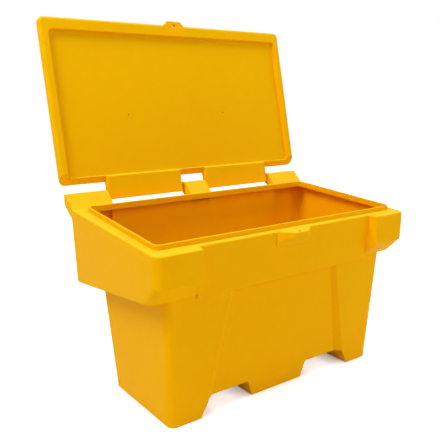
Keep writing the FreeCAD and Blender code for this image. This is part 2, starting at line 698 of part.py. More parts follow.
lug_side = start_sketch(tub, "LugSide", "YZ_Plane")
lug_under = "(" + ledge_at("-{collar_front}") + " - {lug_edge})"
draw_polygon(lug_side, [
    ("-({lug_tip} + 20)", lug_under),
    ("-({lug_hole_y} - {shackle_bore} - 3)", lug_under),
    ("-" + panel_front_at(lug_foot), lug_foot),
    ("-" + panel_front_at(lug_foot), lug_foot + " - 20"),
    ("-({lug_tip} + 20)", lug_foot + " - 20"),
])
pocket(tub, lug_side, "2 * {lug_half_root} + 4", both_ways=True)
lug_top = start_sketch(tub, "LugTop", "YZ_Plane")
draw_polygon(lug_top, [
    ("-({lug_tip} + 20)", ledge_at("-({lug_tip} + 20)")),
    ("-({panel_front_foot} - 2)", ledge_at("-({panel_front_foot} - 2)")),
    ("-({panel_front_foot} - 2)", "{axis_z} + 20"),
    ("-({lug_tip} + 20)", "{axis_z} + 20"),
])
pocket(tub, lug_top, "2 * {lug_half_root} + 4", both_ways=True)
lug_hole = start_sketch(tub, "LugHole", "XY_Plane", lift="{axis_z}")
draw_circle(lug_hole, "0", "-{lug_hole_y}", "{shackle_bore}")
pocket(tub, lug_hole, "{axis_z} - " + lug_foot + " + 20")


def lug_corner(edge):
    return along(edge, AXIS_Z) and abs(edge.CenterOfMass.y + size("lug_tip")) < 0.5


def lug_rim(edge):
    middle = edge.CenterOfMass
    beside_hole = math.hypot(middle.x, middle.y + size("lug_hole_y")) > size("shackle_bore") + 1
    ahead = middle.y < -size("collar_front") + 18
    return ahead and beside_hole and abs(middle.x) < size("lug_half_root")


round_edges(tub, "LugCorners", lug_corner, "{lug_corner}")
round_edges(tub, "LugRim", lug_rim, "{lug_round}")

# Sleeves moulded round the rod in the three hinge blocks, with a counterbore at each end.
middle_sleeve = start_sketch(tub, "MiddleSleeve", "YZ_Plane")
draw_circle(middle_sleeve, "{axis_y}", "{axis_z}", "{boss_radius}")
pad(tub, middle_sleeve, "2 * {hinge_middle} - {wall}", both_ways=True)
outer_sleeve = start_sketch(tub, "OuterSleeve", "YZ_Plane", lift="{hinge_inner} + {wall} / 2")
draw_circle(outer_sleeve, "{axis_y}", "{axis_z}", "{boss_radius}")
sleeve = pad(tub, outer_sleeve, "{cap_seat} - {hinge_inner} + {wall} / 2")
mirror(tub, sleeve, "OuterSleeveOther")
rod_bore = start_sketch(tub, "RodBore", "YZ_Plane")
draw_circle(rod_bore, "{axis_y}", "{axis_z}", "{rod_radius} + {rod_play}")
pocket(tub, rod_bore, "2 * {collar_half} + 80", both_ways=True)
cap_bore = start_sketch(tub, "CapBore", "YZ_Plane", lift="{cap_seat}")
draw_circle(cap_bore, "{axis_y}", "{axis_z}", "{cap_radius} + {cap_play}")
seat = pocket(tub, cap_bore, "{collar_half} + 40 - {cap_seat}", backwards=True)
mirror(tub, seat, "CapBoreOther")

# Lid, drawn flat as it lies when closed: origin on the hinge axis, front towards -Y.
lid = start_body("lid")
under_side = "-{axis_rise}"
outline = start_sketch(lid, "LidOutline", "XY_Plane", lift=under_side)
draw_polygon(outline, [
    ("-{lid_half}", "-{lid_front}"),
    ("{lid_half}", "-{lid_front}"),
    ("{lid_half}", "-{lid_back}"),
    ("-{lid_half}", "-{lid_back}"),
])
pad(lid, outline, "{lid_thick}")
round_edges(
    lid, "LidCorners", lambda edge: along(edge, AXIS_Z), "{lid_corner}")


def lid_rim(edge):
    middle = edge.CenterOfMass
    flat = abs(edge.Vertexes[0].Z - edge.Vertexes[-1].Z) < 0.01
    return flat and not (along(edge, AXIS_X) and middle.y > -size("lid_front") / 2)


round_edges(lid, "LidRim", lid_rim, "{lid_edge}")

# Recess in the underside that takes in the lip of the tub.
recess = start_sketch(lid, "Recess", "XY_Plane", lift=under_side)
draw_polygon(recess, [
    ("-{recess_half}", "-{recess_front}"),
    ("{recess_half}", "-{recess_front}"),
    ("{recess_half}", "-{recess_back}"),
    ("-{recess_half}", "-{recess_back}"),
])
pocket(lid, recess, "{recess_depth}", backwards=True, taper="-{recess_draft}")


def recess_corner(edge):
    middle = edge.CenterOfMass
    within = abs(middle.x) < size("recess_half") + 1 and middle.z < -2
    return along(edge, AXIS_Z, 0.9) and within and abs(middle.y) < size("recess_front") + 1


def recess_mouth(edge):
    middle = edge.CenterOfMass
    return (abs(middle.z + size("axis_rise")) < 0.01 and
            abs(middle.x) < size("recess_half") + 0.1 and
            -size("recess_front") - 0.1 < middle.y < -size("recess_back") + 0.1)


def recess_floor(edge):
    middle = edge.CenterOfMass
    return abs(middle.z + size("axis_rise") - size("recess_depth")) < 0.01


round_edges(lid, "RecessCorners", recess_corner, "{recess_corner}")
round_edges(lid, "RecessMouth", recess_mouth, "{recess_round}")
round_edges(lid, "RecessFloor", recess_floor, "{recess_round}")

# Two tongues reach back to the rod.
for side in ("", "-"):
    name = "TongueRight" if side == "" else "TongueLeft"
    tongue = start_sketch(lid, name, "XY_Plane", lift=under_side)
    draw_polygon(tongue, [
        (side + "{tongue_inner}", "-({recess_back} - 4)"),
        (side + "{tongue_outer}", "-({recess_back} - 4)"),
        (side + "{tongue_outer}", "{tongue_reach}"),
        (side + "{tongue_inner}", "{tongue_reach}"),
    ])
    pad(lid, tongue, "{lid_thick}")

# Bevels clear the hinge blocks beside and between the tongues.
bevel_corners = [
    ("-({lid_back} + {bevel_run} * 1.2)", under_side + " - {bevel_rise} * 0.2"),
    ("-({lid_back} - {bevel_run} * 0.1)", under_side + " + {bevel_rise} * 1.1"),
    ("-({lid_back} - {bevel_run} * 0.1)", under_side + " - {bevel_rise} * 0.2"),
]
middle_bevel = start_sketch(lid, "MiddleBevel", "YZ_Plane")
draw_polygon(middle_bevel, bevel_corners)
pocket(lid, middle_bevel, "2 * {tongue_inner}", both_ways=True)
outer_bevel = start_sketch(lid, "OuterBevel", "YZ_Plane", lift="{tongue_outer}")
draw_polygon(outer_bevel, bevel_corners)
bevel = pocket(lid, outer_bevel, "{lid_half} - {tongue_outer} + 5", backwards=True)
mirror(lid, bevel, "OuterBevelOther")


def tongue_corner(edge):
    middle = edge.CenterOfMass
    return along(edge, AXIS_Z) and abs(middle.y - size("tongue_reach")) < 0.01


def tongue_nose(edge):
    middle = edge.CenterOfMass
    return along(edge, AXIS_X) and middle.y > size("tongue_reach") - 0.01 and middle.z > 0


round_edges(lid, "TongueNoses", tongue_nose, "{tongue_nose}")
round_edges(lid, "TongueCorners", tongue_corner, "{tongue_corner}")

# The lid is double-skinned: sealed hollows above the recess, round its rim and in the tongues,
# with a post round each small hole.
skin_floor = under_side + " + {lid_skin}"
recess_roof = under_side + " + {recess_depth} + {lid_skin}"
wide = "({lid_half} - {lid_side_skin})"
fore = "({lid_front} - {lid_side_skin})"
bay_back = "({lid_front} - {tab_bay} - {lid_skin})"
bay_half = "({tab_half_root} + {lid_skin})"
clipped = "{lid_corner} * 0.6"
broad_hollow = start_sketch(lid, "BroadHollow", "XY_Plane", lift=recess_roof)
draw_polygon(broad_hollow, [
    ("-" + wide, "-({recess_back} + 2)"),
    ("-" + wide, "-(" + fore + " - " + clipped + ")"),
    ("-(" + wide + " - " + clipped + ")", "-" + fore),
    ("-" + bay_half, "-" + fore),
    ("-" + bay_half, "-" + bay_back),
    (bay_half, "-" + bay_back),
    (bay_half, "-" + fore),
    (wide + " - " + clipped, "-" + fore),
    (wide, "-(" + fore + " - " + clipped + ")"),
    (wide, "-({recess_back} + 2)"),
])
draw_circle(broad_hollow, "-{vent_left}", "-{vent_y}", "{vent_post}")
draw_circle(broad_hollow, "{vent_right}", "-{vent_y}", "{vent_post}")
pocket(lid, broad_hollow, "{lid_thick} - {recess_depth} - 2 * {lid_skin}", backwards=True)
for side in ("", "-"):
    name = "Right" if side == "" else "Left"
    rim_hollow = start_sketch(lid, "RimHollow" + name, "XY_Plane", lift=skin_floor)
    draw_polygon(rim_hollow, [
        (side + bay_half, "-" + fore),
        (side + "(" + wide + " - " + clipped + ")", "-" + fore),
        (side + wide, "-(" + fore + " - " + clipped + ")"),
        (side + wide, "-({lid_back} + {bevel_run} + 2 * {lid_skin})"),
        (side + "({recess_half} + {lid_skin})", "-({lid_back} + {bevel_run} + 2 * {lid_skin})"),
        (side + "({recess_half} + {lid_skin})", "-({recess_front} + {lid_skin})"),
        (side + bay_half, "-({recess_front} + {lid_skin})"),
    ])
    pocket(lid, rim_hollow, "{recess_depth}", backwards=True)
    tongue_hollow = start_sketch(lid, "TongueHollow" + name, "XY_Plane", lift=skin_floor)
    draw_polygon(tongue_hollow, [
        (side + "({tongue_inner} + {lid_side_skin})", "-({recess_back} - {lid_skin})"),
        (side + "({tongue_outer} - {lid_side_skin})", "-({recess_back} - {lid_skin})"),
        (side + "({tongue_outer} - {lid_side_skin})", "-({rod_radius} + {lid_skin})"),
        (side + "({tongue_inner} + {lid_side_skin})", "-({rod_radius} + {lid_skin})"),
    ])
    pocket(lid, tongue_hollow, "{lid_thick} - 2 * {lid_skin}", backwards=True)

# Tab with the padlock hole at the front edge, and a finger bay above it.
tab = start_sketch(lid, "Tab", "XY_Plane", lift=under_side)
draw_polygon(tab, [
    ("-{tab_half_root}", "-({lid_front} - 2 * {lid_edge})"),
    ("-{tab_half_root}", "-{lid_front}"),
    ("-{tab_half_tip}", "-({lid_front} + {tab_reach})"),
    ("{tab_half_tip}", "-({lid_front} + {tab_reach})"),
    ("{tab_half_root}", "-{lid_front}"),
    ("{tab_half_root}", "-({lid_front} - 2 * {lid_edge})"),
])
pad(lid, tab, "{tab_thick}")


def tab_corner(edge):
    reach = size("lid_front") + size("tab_reach")
    return along(edge, AXIS_Z) and abs(edge.CenterOfMass.y + reach) < 0.5


round_edges(lid, "TabCorners", tab_corner, "{tab_corner}")
finger_bay = start_sketch(lid, "FingerBay", "XY_Plane", lift=under_side + " + {tab_thick}")
draw_polygon(finger_bay, [
    ("-{tab_half_root}", "-({lid_front} - {tab_bay})"),
    ("-{tab_half_root}", "-({lid_front} + 2 * {tab_reach})"),
    ("{tab_half_root}", "-({lid_front} + 2 * {tab_reach})"),
    ("{tab_half_root}", "-({lid_front} - {tab_bay})"),
])
pocket(lid, finger_bay, "{lid_thick}", backwards=True)
holes = start_sketch(lid, "LidHoles", "XY_Plane", lift=under_side + " - 1")
draw_circle(holes, "0", "-{tab_hole}", "{shackle_bore}")
draw_circle(holes, "-{vent_left}", "-{vent_y}", "{vent_radius}")
draw_circle(holes, "{vent_right}", "-{vent_y}", "{vent_radius}")
pocket(lid, holes, "{lid_thick} + 2", backwards=True)
tongue_bore = start_sketch(lid, "TongueBore", "YZ_Plane")
draw_circle(tongue_bore, "0", "0", "{rod_radius} + {rod_play}")
pocket(lid, tongue_bore, "2 * {lid_half}", both_ways=True)

# Open lid: turned about the hinge axis until it leans back behind the vertical.
lid.Placement = FreeCAD.Placement(
    FreeCAD.Vector(0, 0, 0), FreeCAD.Rotation(FreeCAD.Vector(1, 0, 0), -90))
lid.setExpression("Placement.Base.y", "Sizes.axis_y")
lid.setExpression("Placement.Base.z", "Sizes.axis_z")
lid.setExpression("Placement.Rotation.Angle", "-(90 + Sizes.lid_lean)")

# Hinge rod, held by the three hinge blocks and ending inside the caps.
rod_end = "({cap_seat} + {cap_length} - {cap_end})"
rod = start_body("hinge_rod")
rod_round = start_sketch(rod, "RodRound", "YZ_Plane")
draw_circle(rod_round, "0", "0", "{rod_radius}")
pad(rod, rod_round, "2 * " + rod_end, both_ways=True)
rod.setExpression("Placement.Base.y", "Sizes.axis_y")
rod.setExpression("Placement.Base.z", "Sizes.axis_z")

# Push-on caps, turned about the rod's axis with the closed end outwards.
caps = []
for label, turned in (("rod_cap_right", 0), ("rod_cap_left", 180)):
    cap = start_body(label)
    profile = start_sketch(cap, label + "_profile", "XY_Plane")
    draw_polygon(profile, [
        ("0", "{rod_radius} + {cap_grip}"),
        ("0", "{cap_radius}"),
        ("{cap_length} - {cap_end} / 2", "{cap_radius}"),
        ("{cap_length}", "{cap_radius} - {cap_end} / 2"),
        ("{cap_length}", "0"),
        ("{cap_length} - {cap_end}", "0"),
        ("{cap_length} - {cap_end}", "{rod_radius} + {cap_grip}"),
    ])
    turning = cap.newObject("PartDesign::Revolution", label + "_turned")
    turning.Profile = profile
    turning.ReferenceAxis = (profile, ["H_Axis"])
    turning.Angle = 360
    doc.recompute()
    cap.Placement = FreeCAD.Placement(
        FreeCAD.Vector(0, 0, 0), FreeCAD.Rotation(AXIS_Z, turned))
    sign = "-" if turned else ""
    cap.setExpression("Placement.Base.x", sign + named("({cap_seat} + {cap_play})"))
    cap.setExpression("Placement.Base.y", "Sizes.axis_y")
    cap.setExpression("Placement.Base.z", "Sizes.axis_z")
    caps.append(cap)

doc.recompute()
for item in doc.Objects:
    if "Invalid" in item.State or "Error" in item.State:
        raise ValueError(item.Name + " failed")
pieces = [tub, lid, rod] + caps
for piece in pieces:
    if piece.Shape.isNull() or not piece.Shape.isValid():
        raise ValueError(piece.Label + " is not a valid solid")
    if len(piece.Shape.Solids) != 1:
        raise ValueError(piece.Label + " is not one solid")
os.makedirs("parts", exist_ok=True)
for piece in pieces:
    piece.Shape.exportStep("parts/" + piece.Label + ".step")
    box = piece.Shape.BoundBox
    print(piece.Label, "volume %.3f litres" % (piece.Shape.Volume / 1e6),
          "box %.1f %.1f %.1f to %.1f %.1f %.1f" % (
              box.XMin, box.YMin, box.ZMin, box.XMax, box.YMax, box.ZMax))
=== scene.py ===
"""Grit salt bin: a yellow moulded tub and lid, and the steel rod that they hinge on."""

import math

import bmesh
import bpy
from mathutils import Matrix, Vector


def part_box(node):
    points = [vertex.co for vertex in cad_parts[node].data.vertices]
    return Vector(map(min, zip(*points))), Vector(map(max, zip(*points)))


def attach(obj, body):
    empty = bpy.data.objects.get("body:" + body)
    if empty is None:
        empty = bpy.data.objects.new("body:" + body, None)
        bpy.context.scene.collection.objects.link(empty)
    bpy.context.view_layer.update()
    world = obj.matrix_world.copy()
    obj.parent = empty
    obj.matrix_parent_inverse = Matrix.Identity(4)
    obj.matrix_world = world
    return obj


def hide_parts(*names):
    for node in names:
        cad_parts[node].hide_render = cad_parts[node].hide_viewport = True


bl_info = {
    "name": "Grit Salt Bin",
    "version": (1, 0, 0),
    "blender": (4, 5, 0),
    "location": "3D View > Sidebar > Grit Bin",
    "description": "Finishes the moulded grit bin, its hinge hardware and its studio",
    "category": "Object",
}

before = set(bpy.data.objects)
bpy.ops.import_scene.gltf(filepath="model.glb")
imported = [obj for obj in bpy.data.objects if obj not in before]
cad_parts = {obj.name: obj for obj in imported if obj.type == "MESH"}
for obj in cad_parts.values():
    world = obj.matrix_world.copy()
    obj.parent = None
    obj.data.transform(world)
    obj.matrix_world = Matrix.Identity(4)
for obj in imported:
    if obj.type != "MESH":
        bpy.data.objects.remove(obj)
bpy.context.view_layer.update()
ROD_LOW, ROD_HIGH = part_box("hinge_rod")
ROD_MIDDLE = (ROD_LOW + ROD_HIGH) / 2
CAP_LOW, CAP_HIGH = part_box("rod_cap_right")


# Looks of the plastic

# How far red, green and blue light travel in the skin, as shares of the glow depth
GLOW_SHARES = (1.0, 0.45, 0.05)
# Painted light: the colour turns to the paler lit yellow between these heights of a face's normal,
# so faces that look up read as lit from above
PAINTED_LIGHT_STARTS, PAINTED_LIGHT_FULL = 0.35, 0.95
# Painted shade in a pin hole, as a share of the deep yellow
PIT_PAINTED_SHADE = 0.8
# The roughness rises and falls by this much with the cloudiness
ROUGHNESS_SPREAD = 0.05

# Looks of the hinge hardware

# Duller zinc and paler scuffs, as shares of the plain colours
ZINC_SHADE = 0.8
CAP_SCUFF = 2.2
# Waves per metre along the rod and across it, and their height
DRAWN_LINES = (6, 1500, 1500)
DRAWN_DEPTH = 0.00002

# Shape of a cap

# Outline of the dome, as shares of the cap's length and of its radius
CAP_DOME = ((0.28, 1.0), (0.34, 0.95), (0.40, 0.86), (0.72, 0.80), (0.90, 0.64), (0.98, 0.36))
# Radius at the mouth, as a share, then the step up to the full radius, in metres
CAP_MOUTH = 0.94
CAP_MOUTH_STEP = 0.0005
# Gap between the rod and the cap's bore
CAP_BORE_PLAY = 0.00002

# Meshes

MERGE_DISTANCE = 1e-6
SHARP_ANGLE = math.radians(35)

# Stage, in metres and degrees

LAMP_TARGET = (0, 0, 0.5)
# A lamp's name, place and width, and the setting that holds its power
LAMPS = (
    ("key_lamp", (-2.6, -0.2, 3.6), 2.0, "key_power"),
    ("front_lamp", (-0.4, -4.0, 3.0), 3.0, "front_power"),
    ("top_lamp", (2.6, -0.2, 3.6), 2.0, "top_power"),
    ("right_lamp", (3.0, -3.4, 1.4), 2.4, "right_power"),
    ("left_lamp", (-3.8, -0.6, 2.8), 2.4, "left_power"),
    ("back_lamp", (0.4, 4.2, 2.6), 2.4, "back_power"),
)
CAMERA_PLACE = (-1.2181, -1.4947, 0.9440)
CAMERA_TURN = (78.01, 0.13, -36.40)
SENSOR_WIDTH = 36
FLOOR_HALF = 30
FLOOR_GRAIN = 1.01
# The floor's own white rises to full between these distances from the middle of the bin
GLOW_STARTS, GLOW_FULL = 0.8, 2.6
# Width of the painted contact shadow, a dark line in the floor's own glow where the feet touch the
# floor
CONTACT_SHADOW = 0.06


# Sizes and colours that a user would change

class MouldedPlastic(bpy.types.PropertyGroup):
    """Plastic of the tub and the lid"""
    yellow: bpy.props.FloatVectorProperty(
        name="Yellow", description="Colour of the moulded plastic", subtype="COLOR",
        size=3, min=0, max=1, default=(0.95, 0.468, 0.0))
    deep_yellow: bpy.props.FloatVectorProperty(
        name="Deep yellow", description="Colour where the pigment lies thicker", subtype="COLOR",
        size=3, min=0, max=1, default=(0.935, 0.452, 0.0))
    # Painted light: a paler yellow that faces looking up turn to, standing in for light from above
    painted_light_yellow: bpy.props.FloatVectorProperty(
        name="Painted light yellow", description="Colour of faces that look at the sky", subtype="COLOR",
        size=3, min=0, max=1, default=(0.95, 0.61, 0.02))
    roughness: bpy.props.FloatProperty(
        name="Roughness", description="How dull the satin surface is", min=0, max=1, default=0.42)
    gloss: bpy.props.FloatProperty(
        name="Gloss", description="Strength of the shine on the plastic", min=0, max=1,
        default=0.015)
    glow_share: bpy.props.FloatProperty(
        name="Glow share", description="Share of the light that travels inside the skin",
        min=0, max=1, default=0.35)
    glow_depth: bpy.props.FloatProperty(
        name="Glow depth", description="How far red light travels inside the skin",
        subtype="DISTANCE", unit="LENGTH", min=0, default=0.012)
    peel_size: bpy.props.FloatProperty(
        name="Peel size", description="Width of the ripples that the mould leaves",
        subtype="DISTANCE", unit="LENGTH", min=0.0005, default=0.004)
    peel_depth: bpy.props.FloatProperty(
        name="Peel depth", description="Height of those ripples",
        subtype="DISTANCE", unit="LENGTH", min=0, default=0.00006)
    edge_radius: bpy.props.FloatProperty(
        name="Edge radius", description="Soft shading round the edges of the moulding",
        subtype="DISTANCE", unit="LENGTH", min=0, default=0.0035)


class HingeHardware(bpy.types.PropertyGroup):
    """Rod and caps of the hinge"""
    zinc: bpy.props.FloatVectorProperty(
        name="Zinc", description="Colour of the galvanised rod", subtype="COLOR",
        size=3, min=0, max=1, default=(0.56, 0.57, 0.58))
    cap_black: bpy.props.FloatVectorProperty(
        name="Cap black", description="Colour of the push-on caps", subtype="COLOR",
        size=3, min=0, max=1, default=(0.022, 0.022, 0.024))
    cap_steps: bpy.props.IntProperty(
        name="Cap steps", description="Faces round a cap", min=12, max=128, default=48)
    rod_chamfer: bpy.props.FloatProperty(
        name="Rod chamfer", description="Chamfer at the ends of the rod",
        subtype="DISTANCE", unit="LENGTH", min=0, default=0.001)


class Studio(bpy.types.PropertyGroup):
    """Floor, lamps, sky and camera"""
    floor_white: bpy.props.FloatVectorProperty(
        name="Floor white", description="Colour of the floor", subtype="COLOR",
        size=3, min=0, max=1, default=(0.86, 0.86, 0.86))
    key_power: bpy.props.FloatProperty(
        name="Key power", description="Power of the lamp above on the left", min=0, default=104)
    front_power: bpy.props.FloatProperty(
        name="Front power", description="Power of the large lamp in front", min=0, default=58)
    top_power: bpy.props.FloatProperty(
        name="Top power", description="Power of the lamp above on the right", min=0, default=51)
    right_power: bpy.props.FloatProperty(
        name="Right power", description="Power of the low lamp in front on the right", min=0,
        default=37)
    left_power: bpy.props.FloatProperty(
        name="Left power", description="Power of the lamp beside the bin on the left", min=0,
        default=18)
    back_power: bpy.props.FloatProperty(
        name="Back power", description="Power of the lamp behind the bin", min=0, default=70)
    sky: bpy.props.FloatProperty(
        name="Sky", description="Strength of the light from all round", min=0, default=0.08)
    near_glow: bpy.props.FloatProperty(
        name="Near glow", description="Own white of the floor beside the bin, as the camera sees it",
        min=0, max=1, default=0.75)
    lens: bpy.props.FloatProperty(
        name="Lens", description="Focal length of the camera", subtype="DISTANCE_CAMERA",
        unit="CAMERA", min=1, default=48.37)


# Node helpers

def start_material(name):
    """A material with a Principled shader on its output and nothing else."""
    material = bpy.data.materials.new(name)
    material.use_nodes = True
    nodes = material.node_tree.nodes
    nodes.clear()
    output = nodes.new("ShaderNodeOutputMaterial")
    shader = nodes.new("ShaderNodeBsdfPrincipled")
    material.node_tree.links.new(shader.outputs["BSDF"], output.inputs["Surface"])
    return material, shader


def start_group(name, inputs, outputs):
    """An empty node group. Inputs are (name, kind, default), outputs are (name, kind)."""
    group = bpy.data.node_groups.new(name, "ShaderNodeTree")
    for label, kind, default in inputs:
        socket = group.interface.new_socket(label, in_out="INPUT", socket_type=kind)
        socket.default_value = default
    for label, kind in outputs:
        group.interface.new_socket(label, in_out="OUTPUT", socket_type=kind)
    return group, group.nodes.new("NodeGroupInput"), group.nodes.new("NodeGroupOutput")


def add_node(tree, kind, values=None, **options):
    """A node with its options set first, because they decide which sockets it shows."""
    node = tree.nodes.new(kind)
    for word, value in options.items():
        setattr(node, word, value)
    for socket, value in (values or {}).items():
        node.inputs[socket].default_value = value
    return node


def use_group(tree, group, values):
    """A node that places a group, with its own values."""
    node = tree.nodes.new("ShaderNodeGroup")
    node.node_tree = group
    for socket, value in values.items():
        node.inputs[socket].default_value = value
    return node


def between(tree, factor, first, second):
    """Colour that goes from the first to the second with a factor."""
    mix = add_node(tree, "ShaderNodeMix", data_type="RGBA")
    mix.inputs["A"].default_value = (*first, 1)
    mix.inputs["B"].default_value = (*second, 1)
    tree.links.new(factor, mix.inputs["Factor"])
    return mix.outputs["Result"]


def turned_to(tree, factor, colour, second):
    """Colour of another node that turns to a plain one with a factor."""
    mix = add_node(tree, "ShaderNodeMix", data_type="RGBA")
    mix.inputs["B"].default_value = (*second, 1)
    tree.links.new(factor, mix.inputs["Factor"])
    tree.links.new(colour, mix.inputs["A"])
    return mix.outputs["Result"]


def ranged(tree, value, **limits):
    """Value mapped from one range to another, each 0 to 1 unless given."""
    words = {"low": "From Min", "high": "From Max", "to_low": "To Min", "to_high": "To Max"}
    mapped = add_node(
        tree, "ShaderNodeMapRange", {words[word]: limit for word, limit in limits.items()})
    tree.links.new(value, mapped.inputs["Value"])
    return mapped.outputs["Result"]


def combine(tree, operation, first, second):
    """Two values joined by a sum, a product or the like."""
    node = add_node(tree, "ShaderNodeMath", operation=operation)
    tree.links.new(first, node.inputs[0])
    tree.links.new(second, node.inputs[1])
    return node.outputs[0]


def make_peel_group():
    """Fine ripples and a few pin holes, as the inside of a hot mould leaves them."""
    swell_per_metre, swell_height = 14.0, 1.6
    pit_core, pit_rim = 0.03, 0.09
    group, given, out = start_group(
        "moulded_peel",
        [("Vector", "NodeSocketVector", (0, 0, 0)), ("Ripples per metre", "NodeSocketFloat", 250),
         ("Pits per metre", "NodeSocketFloat", 90)],
        [("Height", "NodeSocketFloat"), ("Pits", "NodeSocketFloat")])
    link = group.links.new
    ripples = add_node(group, "ShaderNodeTexNoise", {"Detail": 2.0, "Roughness": 0.45})
    link(given.outputs["Vector"], ripples.inputs["Vector"])
    link(given.outputs["Ripples per metre"], ripples.inputs["Scale"])
    swell = add_node(group, "ShaderNodeTexNoise", {"Scale": swell_per_metre, "Detail": 1.0})
    link(given.outputs["Vector"], swell.inputs["Vector"])
    cells = add_node(group, "ShaderNodeTexVoronoi", {"Randomness": 1.0})
    link(given.outputs["Vector"], cells.inputs["Vector"])
    link(given.outputs["Pits per metre"], cells.inputs["Scale"])
    pit = ranged(
        group, cells.outputs["Distance"], low=pit_core, high=pit_rim, to_low=1.0, to_high=0.0)
    raised = add_node(group, "ShaderNodeMath", {1: swell_height}, operation="MULTIPLY")
    link(swell.outputs["Fac"], raised.inputs[0])
    total = combine(group, "ADD", ripples.outputs["Fac"], raised.outputs[0])
    link(combine(group, "SUBTRACT", total, pit), out.inputs["Height"])
    link(pit, out.inputs["Pits"])
    return group


def make_mottle_group():
    """Two scales of soft cloudiness, for pigment, dust and wear."""
    fine_share = 0.35
    clear, thick = 0.32, 0.68
    group, given, out = start_group(
        "soft_mottle",
        [("Vector", "NodeSocketVector", (0, 0, 0)), ("Broad per metre", "NodeSocketFloat", 3),
         ("Fine per metre", "NodeSocketFloat", 40)],
        [("Cloud", "NodeSocketFloat")])
    link = group.links.new
    broad = add_node(group, "ShaderNodeTexNoise", {"Detail": 3.0, "Roughness": 0.55})
    fine = add_node(group, "ShaderNodeTexNoise", {"Detail": 4.0, "Roughness": 0.6})
    for node, word in ((broad, "Broad per metre"), (fine, "Fine per metre")):
        link(given.outputs["Vector"], node.inputs["Vector"])
        link(given.outputs[word], node.inputs["Scale"])
    blend = add_node(group, "ShaderNodeMix", {"Factor": fine_share}, data_type="FLOAT")
    link(broad.outputs["Fac"], blend.inputs["A"])
    link(fine.outputs["Fac"], blend.inputs["B"])
    link(ranged(group, blend.outputs["Result"], low=clear, high=thick), out.inputs["Cloud"])
    return group


def cloudiness(tree, place, broad, fine):
    """Cloudiness over a piece, with broad and fine clouds per metre."""
    mottle = bpy.data.node_groups.get("soft_mottle") or make_mottle_group()
    cloud = use_group(tree, mottle, {"Broad per metre": broad, "Fine per metre": fine})
    tree.links.new(place.outputs["Object"], cloud.inputs["Vector"])
    return cloud.outputs["Cloud"]


def make_plastic(settings):
    """Satin polyethylene: cloudy pigment, ripples of the mould, rounded edges, painted shade in pin
    holes, and a paler painted light on faces that look up.
    """
    material, shader = start_material("moulded_yellow")
    tree = material.node_tree
    link = tree.links.new
    place = tree.nodes.new("ShaderNodeTexCoord")
    cloud = cloudiness(tree, place, broad=2.6, fine=34.0)
    ripple = use_group(tree, make_peel_group(), {
        "Ripples per metre": 1 / settings.peel_size, "Pits per metre": 70.0})
    link(place.outputs["Object"], ripple.inputs["Vector"])

    tint = between(tree, cloud, settings.deep_yellow, settings.yellow)
    # Painted shade: the pin holes are darker
    pit_painted_shade = [PIT_PAINTED_SHADE * part for part in settings.deep_yellow]
    pitted = turned_to(tree, ripple.outputs["Pits"], tint, pit_painted_shade)
    # Painted light: faces that look up turn to the paler lit yellow
    facing = tree.nodes.new("ShaderNodeSeparateXYZ")
    link(place.outputs["Normal"], facing.inputs["Vector"])
    painted_light_mask = ranged(tree, facing.outputs["Z"], low=PAINTED_LIGHT_STARTS, high=PAINTED_LIGHT_FULL)
    link(turned_to(tree, painted_light_mask, pitted, settings.painted_light_yellow), shader.inputs["Base Color"])

    satin = ranged(
        tree, cloud, to_low=settings.roughness + ROUGHNESS_SPREAD,
        to_high=settings.roughness - ROUGHNESS_SPREAD)
    link(satin, shader.inputs["Roughness"])
    rounded = add_node(tree, "ShaderNodeBevel", {"Radius": settings.edge_radius}, samples=6)
    bump = add_node(tree, "ShaderNodeBump", {"Strength": 1.0, "Distance": settings.peel_depth})
    link(ripple.outputs["Height"], bump.inputs["Height"])
    link(rounded.outputs["Normal"], bump.inputs["Normal"])
    link(bump.outputs["Normal"], shader.inputs["Normal"])
    shader.inputs["IOR"].default_value = 1.5
    shader.inputs["Specular IOR Level"].default_value = settings.gloss
    shader.inputs["Subsurface Weight"].default_value = settings.glow_share
    shader.inputs["Subsurface Radius"].default_value = GLOW_SHARES
    shader.inputs["Subsurface Scale"].default_value = settings.glow_depth
    return material


def make_zinc(settings):
    """Bright zinc with drawn lines along the rod."""
    material, shader = start_material("galvanised_rod")
    tree = material.node_tree
    link = tree.links.new
    place = tree.nodes.new("ShaderNodeTexCoord")
    cloud = cloudiness(tree, place, broad=60.0, fine=400.0)
    dull = [ZINC_SHADE * part for part in settings.zinc]
    link(between(tree, cloud, dull, settings.zinc), shader.inputs["Base Color"])
    link(ranged(tree, cloud, to_low=0.42, to_high=0.28), shader.inputs["Roughness"])
    shader.inputs["Metallic"].default_value = 1.0
    lengthwise = add_node(tree, "ShaderNodeMapping", {"Scale": DRAWN_LINES})
    link(place.outputs["Object"], lengthwise.inputs["Vector"])
    lines = add_node(tree, "ShaderNodeTexNoise", {"Scale": 1.0, "Detail": 1.0})
    link(lengthwise.outputs["Vector"], lines.inputs["Vector"])
    bump = add_node(tree, "ShaderNodeBump", {"Strength": 0.5, "Distance": DRAWN_DEPTH})
    link(lines.outputs["Fac"], bump.inputs["Height"])
    link(bump.outputs["Normal"], shader.inputs["Normal"])
    return material


def make_cap_black(settings):
    """Dull black cap plastic with paler scuffs."""
    material, shader = start_material("cap_plastic_black")
    tree = material.node_tree
    place = tree.nodes.new("ShaderNodeTexCoord")
    cloud = cloudiness(tree, place, broad=90.0, fine=900.0)
    scuffed = [CAP_SCUFF * part for part in settings.cap_black]
    tree.links.new(between(tree, cloud, settings.cap_black, scuffed), shader.inputs["Base Color"])
    tree.links.new(ranged(tree, cloud, to_low=0.45, to_high=0.62), shader.inputs["Roughness"])
    return material


# Pieces

def dress(node, settings):
    """Give a CAD node the moulded plastic."""
    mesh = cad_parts[node].data
    mesh.materials.clear()
    mesh.materials.append(bpy.data.materials.get("moulded_yellow") or make_plastic(settings))


